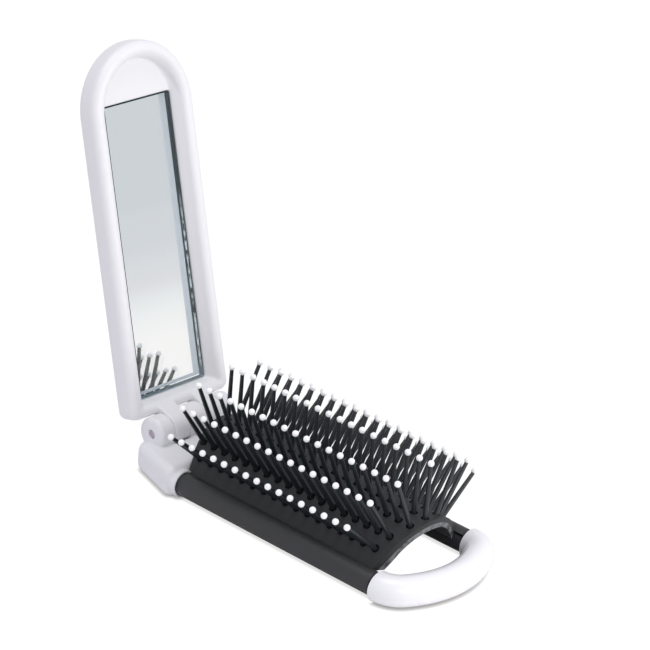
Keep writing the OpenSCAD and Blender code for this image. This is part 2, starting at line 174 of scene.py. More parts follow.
class BrushColours(bpy.types.PropertyGroup):
    """Colours of the finishes."""

    white: colour("White", (0.88, 0.88, 0.89), "Moulded white plastic")
    charcoal: colour("Charcoal", (0.032, 0.033, 0.035), "Satin plastic of the rails")
    pad: colour("Pad", (0.037, 0.039, 0.040), "Flexible sheets of the pad")
    # Painted highlight: pale grey for the streaks of light on the lower sheet's bowed cut ends
    pad_end_highlight: colour("Pad end", (0.20, 0.205, 0.21), "Pale cut ends of the pad's lower sheet")
    bristle: colour("Bristle", (0.019, 0.024, 0.027), "Nylon of the bristles")
    # Also the colour of the balls' painted glow
    ball: colour("Ball", (0.96, 0.96, 0.95), "Dipped balls on the bristles")
    # Painted shade: the white plastic pin gets the lavender grey of white plastic in the shade of its
    # hole
    pin: colour("Hinge pin", (0.62, 0.55, 0.62), "Hinge pin")
    glass_edge: colour("Glass edge", (0.012, 0.034, 0.044), "Ground edge of the mirror's glass")
    foot_edge: colour("Glass foot edge", (0.14, 0.20, 0.23), "Lower ground edge of the mirror's glass")
    # Painted glints: bright spots of light on chips in the glass's ground edge
    chip_glints: colour("Glass chips", (0.80, 0.90, 0.92), "Bright chips in the ground edge of the glass")
    glass: colour("Glass", (0.93, 0.97, 0.98), "Mirror glass")
    # Painted light: colour of the glowing strips painted on the silvering beside the glass edge
    painted_glow: colour("Glass edge glow", (0.78, 0.84, 0.92), "Pale strip beside the mirror's edge")
    gloss: colour("Gloss white", (0.95, 0.95, 0.96), "Glossy plastic of the loop")
    silver: colour("Silver", (0.90, 0.92, 0.93), "Silvering")
    tape: colour("Tape", (0.70, 0.70, 0.68), "Foam tape behind the mirror")
    backdrop: colour("Backdrop", (1.0, 1.0, 1.0), "Floor and backdrop")


def sizes():
    return bpy.context.scene.brush_sizes


def colours():
    return bpy.context.scene.brush_colours


# ---- handling pieces ----


def put_down_all():
    bpy.ops.object.select_all(action="DESELECT")


def take(piece):
    """Makes a piece the only selected one and the active one."""
    put_down_all()
    piece.select_set(True)
    bpy.context.view_layer.objects.active = piece


def new_piece(name):
    """Names the primitive that was just added."""
    piece = bpy.context.active_object
    piece.name = name
    piece.data.name = name
    return piece


def settle(piece):
    """Puts a piece's place, turn and scale into its mesh."""
    take(piece)
    bpy.ops.object.transform_apply(location=True, rotation=True, scale=True)


def smooth(piece, angle=40.0):
    take(piece)
    bpy.ops.object.shade_smooth_by_angle(angle=math.radians(angle))


def face_outwards(piece):
    take(piece)
    bpy.ops.object.mode_set(mode="EDIT")
    bpy.ops.mesh.select_all(action="SELECT")
    bpy.ops.mesh.remove_doubles(threshold=0.000002)
    bpy.ops.mesh.normals_make_consistent(inside=False)
    bpy.ops.object.mode_set(mode="OBJECT")


def join(pieces, name):
    put_down_all()
    for piece in pieces:
        piece.select_set(True)
    bpy.context.view_layer.objects.active = pieces[0]
    bpy.ops.object.join()
    return new_piece(name)


def apply_modifier(piece, kind, **settings):
    """Adds a modifier, sets it and applies it."""
    take(piece)
    bpy.ops.object.modifier_add(type=kind)
    modifier = piece.modifiers[-1]
    for key, value in settings.items():
        setattr(modifier, key, value)
    bpy.ops.object.modifier_apply(modifier=modifier.name)


def cut(piece, cutter):
    """Takes a cutter's shape out of a piece and removes the cutter."""
    apply_modifier(piece, "BOOLEAN", operation="DIFFERENCE", solver="EXACT", object=cutter)
    bpy.data.objects.remove(cutter)


def bevel_edges(piece, width, segments=3, angle=30.0):
    apply_modifier(
        piece, "BEVEL", width=width, segments=segments, limit_method="ANGLE",
        angle_limit=math.radians(angle),
    )


def copy_of(node, name):
    """A new piece with a CAD node's shape, its loose triangles merged."""
    source = frame["nodes"][node]
    piece = bpy.data.objects.new(name, source.data.copy())
    piece.data.name = name
    piece.data.materials.clear()
    bpy.context.scene.collection.objects.link(piece)
    take(piece)
    bpy.ops.object.mode_set(mode="EDIT")
    bpy.ops.mesh.select_all(action="SELECT")
    bpy.ops.mesh.remove_doubles(threshold=0.000001)
    bpy.ops.mesh.customdata_custom_splitnormals_clear()
    bpy.ops.object.mode_set(mode="OBJECT")
    return piece


def soften(piece, detail, passes):
    """Gives a piece one even skin and rounds its edges, as a moulding has them."""
    apply_modifier(piece, "REMESH", mode="VOXEL", voxel_size=detail, adaptivity=0.0)
    apply_modifier(piece, "SMOOTH", factor=0.5, iterations=passes)


def dress(piece, material, slot, body, *nodes):
    """Gives a piece its finish, its body and the CAD nodes that it stands for."""
    piece.data.materials.clear()
    piece.data.materials.append(material)
    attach(piece, body)
    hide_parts(*nodes)


def give_way(piece):
    """Gives a piece of the pad, its bristles or its balls a mesh of its own."""
    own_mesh(piece)


def add_tube(name, radius, start, end, sides=96):
    """A closed round bar from one point to another."""
    start, end = Vector(start), Vector(end)
    along = end - start
    put_down_all()
    bpy.ops.mesh.primitive_cylinder_add(
        vertices=sides, radius=radius, depth=along.length, location=(start + end) / 2,
        rotation=along.to_track_quat("Z", "Y").to_euler(),
    )
    piece = new_piece(name)
    settle(piece)
    return piece


def add_box(name, low, high):
    low, high = Vector(low), Vector(high)
    put_down_all()
    bpy.ops.mesh.primitive_cube_add(size=1, location=(low + high) / 2)
    piece = new_piece(name)
    piece.scale = high - low
    settle(piece)
    return piece


# ---- the cover's own space: X across, Y up the cover from the hinge, Z out of the mirror's side ----

COVER_TURN = Matrix.Translation(HINGE) @ Matrix.Rotation(math.pi - OPEN_ANGLE, 4, "X")


def cover_box(node):
    """Lowest and highest corner of a CAD node in the cover's own space."""
    back = COVER_TURN.inverted()
    points = [back @ vertex.co for vertex in frame["nodes"][node].data.vertices]
    low = Vector([min(point[k] for point in points) for k in range(3)])
    high = Vector([max(point[k] for point in points) for k in range(3)])
    return low, high


def stand_on_cover(piece):
    """Turns a piece from the cover's own space to where the open cover stands."""
    piece.matrix_world = COVER_TURN @ piece.matrix_world
    settle(piece)


# ---- finishes ----


def link(tree, source, target):
    tree.links.new(source, target)


def map_range(nodes, low, high):
    """A node that turns a value between two bounds into 0 to 1."""
    node = nodes.new("ShaderNodeMapRange")
    node.inputs["From Min"].default_value = low
    node.inputs["From Max"].default_value = high
    return node


def calculation(nodes, kind, operation, second=None):
    """A "Math" or "VectorMath" node, with its second value where that is fixed."""
    node = nodes.new("ShaderNode" + kind)
    node.operation = operation
    if second is not None:
        node.inputs[1].default_value = second
    return node


def noise(nodes, scale=None, detail=None):
    node = nodes.new("ShaderNodeTexNoise")
    for socket, value in (("Scale", scale), ("Detail", detail)):
        if value is not None:
            node.inputs[socket].default_value = value
    return node


def colour_mix(nodes, first=None, second=None):
    """A node that mixes two colours, each given where it is fixed."""
    node = nodes.new("ShaderNodeMix")
    node.data_type = "RGBA"
    for socket, value in (("A", first), ("B", second)):
        if value is not None:
            node.inputs[socket].default_value = (*value, 1)
    return node


def tinted(nodes, kind, tint):
    """A node such as "Background" or "BsdfDiffuse", in one colour."""
    node = nodes.new("ShaderNode" + kind)
    node.inputs["Color"].default_value = (*tint, 1)
    return node


def mirrored_rays(tree, path):
    """The rays that come by way of the mirror or through its glass, as 0 or 1."""
    rays = calculation(tree.nodes, "Math", "ADD")
    rays.use_clamp = True
    link(tree, path.outputs["Is Glossy Ray"], rays.inputs[0])
    link(tree, path.outputs["Is Transmission Ray"], rays.inputs[1])
    return rays.outputs[0]


def moulded_surface():
    """Node group: fine grain and uneven gloss of a moulded plastic."""
    name = "Moulded surface"
    if name in bpy.data.node_groups:
        return bpy.data.node_groups[name]
    group = bpy.data.node_groups.new(name, "ShaderNodeTree")
    for label, value in (
        ("Grain Scale", 900.0), ("Grain Depth", 0.1), ("Gloss", 0.3), ("Unevenness", 0.05),
    ):
        socket = group.interface.new_socket(label, in_out="INPUT", socket_type="NodeSocketFloat")
        socket.default_value = value
    group.interface.new_socket("Normal", in_out="OUTPUT", socket_type="NodeSocketVector")
    group.interface.new_socket("Roughness", in_out="OUTPUT", socket_type="NodeSocketFloat")
    nodes = group.nodes
    given = nodes.new("NodeGroupInput")
    out = nodes.new("NodeGroupOutput")
    place = nodes.new("ShaderNodeTexCoord")
    grain = noise(nodes, detail=3.0)
    bump = nodes.new("ShaderNodeBump")
    bump.inputs["Distance"].default_value = 0.02 * MM
    patches = noise(nodes, 60.0)
    centred = calculation(nodes, "Math", "SUBTRACT", 0.5)
    gloss = calculation(nodes, "Math", "MULTIPLY_ADD")
    link(group, place.outputs["Object"], grain.inputs["Vector"])
    link(group, place.outputs["Object"], patches.inputs["Vector"])
    link(group, given.outputs["Grain Scale"], grain.inputs["Scale"])
    link(group, given.outputs["Grain Depth"], bump.inputs["Strength"])
    link(group, grain.outputs["Fac"], bump.inputs["Height"])
    link(group, patches.outputs["Fac"], centred.inputs[0])
    link(group, centred.outputs[0], gloss.inputs[0])
    link(group, given.outputs["Unevenness"], gloss.inputs[1])
    link(group, given.outputs["Gloss"], gloss.inputs[2])
    link(group, bump.outputs["Normal"], out.inputs["Normal"])
    link(group, gloss.outputs[0], out.inputs["Roughness"])
    return group


def plain_material(name, base, **sockets):
    """A material of one colour, with other sockets of its shader set by name."""
    if name in bpy.data.materials:
        return bpy.data.materials[name]
    material = bpy.data.materials.new(name)
    material.use_nodes = True
    shader = material.node_tree.nodes["Principled BSDF"]
    shader.inputs["Base Color"].default_value = (*base, 1.0)
    for key, value in sockets.items():
        shader.inputs[key.replace("_", " ")].default_value = value
    return material


def plastic(name, base, gloss, grain_scale=900.0, grain_depth=0.1, unevenness=0.05, **sockets):
    """A moulded plastic: its colour, its gloss and its grain."""
    if name in bpy.data.materials:
        return bpy.data.materials[name]
    material = plain_material(name, base, **sockets)
    tree = material.node_tree
    shader = tree.nodes["Principled BSDF"]
    surface = tree.nodes.new("ShaderNodeGroup")
    surface.node_tree = moulded_surface()
    surface.inputs["Grain Scale"].default_value = grain_scale
    surface.inputs["Grain Depth"].default_value = grain_depth
    surface.inputs["Gloss"].default_value = gloss
    surface.inputs["Unevenness"].default_value = unevenness
    link(tree, surface.outputs["Normal"], shader.inputs["Normal"])
    link(tree, surface.outputs["Roughness"], shader.inputs["Roughness"])
    return material


def white_gloss():
    return plastic("White gloss plastic", colours().gloss, 0.2, grain_depth=0.03)


def white_satin():
    return plastic("White satin plastic", colours().white, 0.36, grain_depth=0.08)


def charcoal_plastic():
    return plastic("Charcoal satin plastic", colours().charcoal, 0.46, 1600.0, 0.3)


def pad_plastic():
    return plastic("Pad plastic", colours().pad, 0.52, 1800.0, 0.35, Specular_IOR_Level=0.25)


def pad_end_highlight_plastic():
    """The lower sheet's plastic, with painted highlights: paler streaks on its bowed cut ends, where
    light catches them.
    """
    if "Pad end plastic" in bpy.data.materials:
        return bpy.data.materials["Pad end plastic"]
    material = plastic("Pad end plastic", colours().pad, 0.45, 1800.0, 0.35, Specular_IOR_Level=0.3)
    tree = material.node_tree
    nodes = tree.nodes
    end_r = sizes().pad_end_radius
    bow = sizes().pad_length / 2 - end_r
    place = nodes.new("ShaderNodeTexCoord")
    centred = calculation(nodes, "VectorMath", "ADD", (0, sizes().pad_middle, 0))
    mirrored = calculation(nodes, "VectorMath", "ABSOLUTE")
    from_bow = calculation(nodes, "VectorMath", "SUBTRACT", (0, bow, 0))
    flat = calculation(nodes, "VectorMath", "MULTIPLY", (1, 1, 0))
    reach = calculation(nodes, "VectorMath", "LENGTH")
    # The bowed cut ends, where the painted highlight streaks go
    end = calculation(nodes, "Math", "GREATER_THAN", end_r - 0.05 * MM)
    highlight_streaks = noise(nodes, 500.0, 4.0)
    highlight_strength = map_range(nodes, 0.36, 0.58)
    highlight_mask = calculation(nodes, "Math", "MULTIPLY")
    # Mixes the painted highlight into the sheet's colour where the streaks fall on the cut ends
    mix = colour_mix(nodes, colours().pad, colours().pad_end_highlight)
    link(tree, place.outputs["Object"], centred.inputs[0])
    link(tree, centred.outputs["Vector"], mirrored.inputs[0])
    link(tree, mirrored.outputs["Vector"], from_bow.inputs[0])
    link(tree, from_bow.outputs["Vector"], flat.inputs[0])
    link(tree, flat.outputs["Vector"], reach.inputs[0])
    link(tree, reach.outputs["Value"], end.inputs[0])
    link(tree, place.outputs["Object"], highlight_streaks.inputs["Vector"])
    link(tree, highlight_streaks.outputs["Fac"], highlight_strength.inputs["Value"])
    link(tree, end.outputs[0], highlight_mask.inputs[0])
    link(tree, highlight_strength.outputs["Result"], highlight_mask.inputs[1])
    link(tree, highlight_mask.outputs[0], mix.inputs["Factor"])
    link(tree, mix.outputs["Result"], nodes["Principled BSDF"].inputs["Base Color"])
    return material


def bristle_nylon():
    return plastic("Bristle nylon", colours().bristle, 0.28, 700.0, 0.15)


# The balls' white, with a faint painted glow that lightens them on every side
def glowing_ball_finish():
    return plastic(
        "Ball dip", colours().ball, 0.12, grain_depth=0.0,
        Emission_Color=(*colours().ball, 1.0), Emission_Strength=0.10,
    )


# Painted shade: the pin's plastic is coloured as if shaded in its hole
def pin_plastic():
    return plastic("Pin plastic", colours().pin, 0.35)


def tape_foam():
    return plastic("Tape foam", colours().tape, 0.85, 2500.0, 0.6)


def mirror_glass_finish():
    return plain_material(
        "Mirror glass", colours().glass, Roughness=0.0, IOR=1.52, Transmission_Weight=1.0
    )


def glass_edge_finish():
    """The dark ground edge of the glass, paler along its foot, with painted glints as bright chips low
    on its upright edge; the whole edge glows a little as painted light.
    """
    material = plain_material(
        "Ground glass edge", colours().glass_edge, Roughness=0.4, Specular_IOR_Level=0.1,
        Emission_Strength=0.3,
    )
    tree = material.node_tree
    nodes = tree.nodes
    out = COVER_TURN.to_3x3() @ Vector((0, 0, 1))
    back = cover_box("mirror_glass")[0].z + out.dot(HINGE)
    place = nodes.new("ShaderNodeTexCoord")
    stretch = nodes.new("ShaderNodeMapping")
    stretch.inputs["Scale"].default_value = (1.0, 1.0, 0.3)
    # Spots of painted glint on the chips, fading out higher up, on the foot and away from the back
    chip_glints = noise(nodes, 1100.0, 3.0)
    glint_spots = map_range(nodes, 0.42, 0.52)
    split = nodes.new("ShaderNodeSeparateXYZ")
    lower = map_range(nodes, *CHIP_GLINTS_FADE)
    off_foot = map_range(nodes, *FOOT_FADE)
    depth = calculation(nodes, "VectorMath", "DOT_PRODUCT", out)
    near_back = map_range(nodes, *(back + reach for reach in CHIP_GLINTS_DEPTH))
    ground = colour_mix(nodes, colours().foot_edge, colours().glass_edge)
    mix = colour_mix(nodes, second=colours().chip_glints)
    link(tree, place.outputs["Object"], stretch.inputs["Vector"])
    link(tree, stretch.outputs["Vector"], chip_glints.inputs["Vector"])
    link(tree, chip_glints.outputs["Fac"], glint_spots.inputs["Value"])
    link(tree, place.outputs["Object"], split.inputs["Vector"])
    link(tree, place.outputs["Object"], depth.inputs[0])
    link(tree, split.outputs["Z"], lower.inputs["Value"])
    link(tree, split.outputs["Z"], off_foot.inputs["Value"])
    link(tree, depth.outputs["Value"], near_back.inputs["Value"])
    highlight_mask = glint_spots.outputs["Result"]
    for part in (lower, off_foot, near_back):
        both = calculation(nodes, "Math", "MULTIPLY")
        link(tree, highlight_mask, both.inputs[0])
        link(tree, part.outputs["Result"], both.inputs[1])
        highlight_mask = both.outputs[0]
    link(tree, highlight_mask, mix.inputs["Factor"])
    link(tree, off_foot.outputs["Result"], ground.inputs["Factor"])
    link(tree, ground.outputs["Result"], mix.inputs["A"])
    # Painted glints and edge glow: the same colour goes to the base and to the emission
    for socket in ("Base Color", "Emission Color"):
        link(tree, mix.outputs["Result"], nodes["Principled BSDF"].inputs[socket])
    return material


# Painted light: the pale strips beside the mirror's edges glow
def painted_glow_finish():
    return plain_material(
        "Glass edge glow", colours().painted_glow, Roughness=0.25,
        Emission_Color=(*colours().painted_glow, 1.0), Emission_Strength=0.12,
    )


def silvering_finish():
    return plain_material("Silvering", colours().silver, Roughness=0.02, Metallic=1.0)


# ---- the pieces ----


class BRUSH_OT_end_loop(bpy.types.Operator):
    """Model the glossy end loop: a round tube spun round its corners and its bow"""

    bl_idname = "brush.end_loop"
    bl_label = "End loop"

    def execute(self, context):
        low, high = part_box("end_loop")
        tube_r = (high.z - low.z) / 2
        rail_x = high.x - tube_r
        bow = sizes().loop_bow
        reach = -low.y - tube_r - bow
        edge = sizes().loop_edge
        corner = sizes().loop_corner
        corner_x = rail_x - corner
        bow_r = (corner_x**2 + bow**2 - corner**2) / (2 * (bow - corner))
        corner_angle = math.atan2(bow_r - bow, corner_x)
        bow_y = -reach + (bow_r - corner) * math.sin(corner_angle)
        put_down_all()
        bpy.ops.mesh.primitive_circle_add(
            vertices=64, radius=tube_r, fill_type="NOTHING", location=(rail_x, -reach, tube_r),
            rotation=(math.pi / 2, 0, 0),
        )
        loop = new_piece("end_loop_tube")
        settle(loop)
        bpy.ops.object.mode_set(mode="EDIT")
        bpy.ops.mesh.select_all(action="SELECT")
        for centre, angle, steps in (
            ((corner_x, -reach, tube_r), corner_angle, 24),
            ((0, bow_y, tube_r), math.pi - 2 * corner_angle, 40),
            ((-corner_x, -reach, tube_r), corner_angle, 24),
        ):
            bpy.ops.mesh.spin(steps=steps, angle=angle, center=centre, axis=(0, 0, 1))
        bpy.ops.object.mode_set(mode="OBJECT")
        for side in (-1, 1):
            self.round_end(loop, side * rail_x, -reach, tube_r, edge)
        face_outwards(loop)
        smooth(loop)
        dress(loop, white_gloss(), "white_gloss", FRAME_BODY, "end_loop")
        return {"FINISHED"}

    def round_end(self, loop, x, y, radius, edge, steps=8):
        """Closes an open end of the tube with a rounded edge and a flat face."""
        take(loop)
        bpy.ops.object.mode_set(mode="EDIT")
        bpy.ops.mesh.select_all(action="DESELECT")
        mesh = bmesh.from_edit_mesh(loop.data)
        for e in mesh.edges:
            e.select = all(
                abs(v.co.y - y) < 0.00001 and abs(v.co.x - x) < radius * 1.01 for v in e.verts
            ) and len(e.link_faces) < 2
        mesh.select_flush_mode()
        bmesh.update_edit_mesh(loop.data)
        now = radius
        for step in range(1, steps + 1):
            turn = math.pi / 2 * step / steps
            ring = radius - edge + edge * math.cos(turn)
            forward = edge * (math.sin(turn) - math.sin(turn - math.pi / 2 / steps))
            bpy.ops.mesh.extrude_edges_move(TRANSFORM_OT_translate={"value": (0, forward, 0)})
            bpy.ops.transform.resize(
                value=(ring / now, 1, ring / now),
                center_override=(x, y + edge * math.sin(turn), radius),
            )
            now = ring
        bpy.ops.mesh.edge_face_add()
        bpy.ops.object.mode_set(mode="OBJECT")


class BRUSH_OT_rails(bpy.types.Operator):
    """Model the two side rails: round tubes, notched along their tops for the pad's edges"""

    bl_idname = "brush.rails"
    bl_label = "Side rails"

    def execute(self, context):
        for side, node in ((-1, "rail_left"), (1, "rail_right")):
            low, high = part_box(node)
            radius = (high.x - low.x) / 2
            x, z = (low.x + high.x) / 2, low.z + radius
            rail = add_tube(node + "_tube", radius, (x, low.y, z), (x, high.y, z), 128)
            bevel_edges(rail, sizes().rail_edge, 3, 60)
            cut(rail, self.notch(side, low, high))
            smooth(rail, 35)
            dress(rail, charcoal_plastic(), "charcoal", FRAME_BODY, node)
        return {"FINISHED"}

    def notch(self, side, low, high):
        """The room for the pad's edge: down to the pad's edge height, under its flank."""
        top = pad_height(0) + sizes().pad_radius
        angle = sizes().flank_angle
        edge = PAD_EDGE_Z - NOTCH_DROP
        out = flank_reach(edge) + NOTCH_GAP
        put_down_all()
        bpy.ops.mesh.primitive_cube_add(size=1)
        cutter = new_piece("notch")
        rise = top - edge
        corners = {
            (1, -1): (out, edge), (-1, -1): (out - NOTCH_WIDTH, edge),
            (1, 1): (out - rise / math.tan(angle), top), (-1, 1): (out - NOTCH_WIDTH - rise, top),
        }
        for vertex in cutter.data.vertices:
            key = (1 if vertex.co.x > 0 else -1, 1 if vertex.co.z > 0 else -1)
            x, z = corners[key]
            y = high.y + MM if vertex.co.y > 0 else low.y - MM
            vertex.co = (side * x, y, z)
        face_outwards(cutter)
        return cutter


class BRUSH_OT_hinge_block(bpy.types.Operator):
    """Model the hinge block with its three ears as one soft moulding"""

    bl_idname = "brush.hinge_block"
    bl_label = "Hinge block"

    def execute(self, context):
        block = copy_of("hinge_block", "hinge_block_moulding")
        soften(block, sizes().block_voxel, 4)
        block = join([block, self.lip("rail_left"), self.lip("rail_right")], "hinge_block_moulding")
        smooth(block, 60)
        dress(block, white_satin(), "white_satin", FRAME_BODY, "hinge_block")
        return {"FINISHED"}

    def lip(self, node):
        """The thin lip that stands out round the end of a rail."""
        low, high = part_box(node)
        x, z = (low.x + high.x) / 2, low.z + (high.x - low.x) / 2
        radius = (high.x - low.x) / 2 + sizes().seat_gap
        front = high.y - sizes().lip_length
        lip = add_tube("rail_lip", radius + sizes().lip_wall, (x, front, z), (x, high.y, z), 96)
        cut(lip, add_tube("seat", radius, (x, front - MM, z), (x, high.y + MM, z), 96))
        bevel_edges(lip, LIP_ROUNDING, 3, 60)
        return lip


class BRUSH_OT_hinge_pin(bpy.types.Operator):
    """Model the hinge pin with its rounded ends"""

    bl_idname = "brush.hinge_pin"
    bl_label = "Hinge pin"

    def execute(self, context):
        low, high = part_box("hinge_pin")
        radius = (high.z - low.z) / 2
        pin = add_tube("hinge_pin_rod", radius, (low.x, 0, HINGE.z), (high.x, 0, HINGE.z), 48)
        bevel_edges(pin, PIN_ROUNDING, 3, 60)
        smooth(pin, 40)
        dress(pin, pin_plastic(), "pin_plastic", PIN_BODY, "hinge_pin")
        return {"FINISHED"}


def pad_height(x):
    """Height of the pad's outer surface at a distance from the middle of the brush."""
    radius = sizes().pad_radius
    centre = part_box("deck_sheet")[1].z - radius
    angle = sizes().flank_angle
    arch = centre + math.sqrt(radius**2 - x**2)
    flank_r = radius - sizes().flank_inset
    flank_x = flank_r * math.sin(angle)
    if x < flank_x:
        return arch
    return max(arch, centre + flank_r * math.cos(angle) - (x - flank_x) * math.tan(angle))


def flank_reach(z):
    """Distance from the middle of the brush at which a flank of the pad has a height."""
    radius = sizes().pad_radius
    angle = sizes().flank_angle
    flank_r = radius - sizes().flank_inset
    flank_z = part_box("deck_sheet")[1].z - radius + flank_r * math.cos(angle)
    return flank_r * math.sin(angle) + (flank_z - z) / math.tan(angle)


class BRUSH_OT_bristle_pad(bpy.types.Operator):
    """Model the two flexible sheets that carry the bristles"""

    bl_idname = "brush.bristle_pad"
    bl_label = "Bristle pad"

    def execute(self, context):
        for node, name, material in (
            ("deck_sheet", "pad_upper_sheet", pad_plastic()),
            ("pin_carrier", "pad_lower_sheet", pad_end_highlight_plastic()),
        ):
            sheet = copy_of(node, name)
            smooth(sheet, 30)
            dress(sheet, material, "pad_black", FRAME_BODY, node)
            give_way(sheet)
        return {"FINISHED"}


def bristle_places(row):
    """Root and direction of every bristle of a row, from the loop to the hinge."""
    side = -1 if row < MIDDLE_ROW else 1
    spec = ROWS[abs(row - MIDDLE_ROW)]
    x = spec["out"] * MM
    lean = math.radians(spec["lean"])
    first = -sizes().pad_middle + spec["shift"] * MM - (spec["count"] - 1) / 2 * sizes().pin_pitch
    way = Vector((side * math.sin(lean), 0, math.cos(lean)))
    for number in range(spec["count"]):
        yield Vector((side * x, first + number * sizes().pin_pitch, pad_height(x))), way, side * lean


class BRUSH_OT_bristles(bpy.types.Operator):
    """Model the tapered nylon bristles, one piece for each row"""

    bl_idname = "brush.bristles"
    bl_label = "Bristles"

    def execute(self, context):
        for row in ROW_NUMBERS:
            bristles = []
            for root, way, lean in bristle_places(row):
                foot = root - way * sizes().root_depth
                tip = root + way * sizes().bristle_length
                put_down_all()
                bpy.ops.mesh.primitive_cone_add(
                    vertices=12, radius1=sizes().root_width / 2, radius2=sizes().tip_width / 2,
                    depth=(tip - foot).length, location=(foot + tip) / 2, rotation=(0, lean, 0),
                )
                bristles.append(bpy.context.active_object)
            piece = join(bristles, f"bristles_{row}")
            settle(piece)
            smooth(piece, 50)
            dress(piece, bristle_nylon(), "bristle_black", FRAME_BODY, f"bristle_row_{row}")
            give_way(piece)
        return {"FINISHED"}


class BRUSH_OT_ball_tips(bpy.types.Operator):
    """Model the dipped balls on the bristles, one piece for each row"""

    bl_idname = "brush.ball_tips"
    bl_label = "Ball tips"

    def execute(self, context):
        for row in ROW_NUMBERS:
            balls = []
            for root, way, lean in bristle_places(row):
                put_down_all()
                bpy.ops.mesh.primitive_uv_sphere_add(
                    segments=12, ring_count=8, radius=sizes().ball_width / 2,
                    location=root + way * sizes().bristle_length, rotation=(0, lean, 0),
                )
                balls.append(bpy.context.active_object)
            piece = join(balls, f"balls_{row}")
            settle(piece)
            smooth(piece, 60)
            dress(piece, glowing_ball_finish(), "tip_white", FRAME_BODY, f"ball_tips_{row}")
            give_way(piece)
        return {"FINISHED"}


class BRUSH_OT_cover(bpy.types.Operator):
    """Model the cover with its rounded rim, its tray and its knuckles as one soft moulding"""

    bl_idname = "brush.cover"
    bl_label = "Cover"

    def execute(self, context):
        cover = copy_of("cover_shell", "cover_moulding")
        soften(cover, sizes().cover_voxel, 4)
        smooth(cover, 60)
        dress(cover, white_satin(), "white_satin", COVER_BODY, "cover_shell")
        return {"FINISHED"}


class BRUSH_OT_mirror(bpy.types.Operator):
    """Model the mirror: glass with a ground edge, silvering with painted glowing strips, and foam tape
    """

    bl_idname = "brush.mirror"
    bl_label = "Mirror"

    def execute(self, context):
        for node, name, material, slot in (
            ("mirror_tape", "mirror_tape_strip", tape_foam(), "tape"),
            ("mirror_silvering", "mirror_silver_layer", silvering_finish(), "silvering"),
        ):
            low, high = cover_box(node)
            plate = add_box(name, low, high)
            dress(plate, material, slot, COVER_BODY, node)
            if node == "mirror_silvering":
                self.paint_edge_glow(plate, low, high)
            stand_on_cover(plate)
        low, high = cover_box("mirror_glass")
        glass = add_box("mirror_glass_plate", low, high)
        bevel_edges(glass, sizes().glass_bevel, 1)
        stand_on_cover(glass)
        dress(glass, mirror_glass_finish(), "mirror_glass", COVER_BODY, "mirror_glass")
        glass.data.materials.append(glass_edge_finish())
        front = COVER_TURN.to_3x3() @ Vector((0, 0, 1))
        for face in glass.data.polygons:
            face.material_index = 0 if abs(face.normal.dot(front)) > 0.95 else 1
        return {"FINISHED"}

    def paint_edge_glow(self, plate, low, high):
        """Paints glowing strips of light on the silvering beside the right and the lower edge."""
        plate.data.materials.append(painted_glow_finish())
        right = high.x - sizes().glow_inset
        left = right - sizes().glow_width
        bottom = low.y + sizes().foot_glow_inset
        top = bottom + sizes().foot_glow_width
        take(plate)
        bpy.ops.object.mode_set(mode="EDIT")
        for place, way in (
            ((left, 0, 0), (1, 0, 0)), ((right, 0, 0), (1, 0, 0)),
            ((0, bottom, 0), (0, 1, 0)), ((0, top, 0), (0, 1, 0)),
        ):
            bpy.ops.mesh.select_all(action="SELECT")
            bpy.ops.mesh.bisect(plane_co=place, plane_no=way)
        bpy.ops.object.mode_set(mode="OBJECT")
        for face in plate.data.polygons:
            spot = face.center
            beside = left < spot.x < right and spot.y > bottom
            below = bottom < spot.y < top and spot.x < right
            if (beside or below) and face.normal.z > 0.9:
                face.material_index = 1


# ---- the stage ----


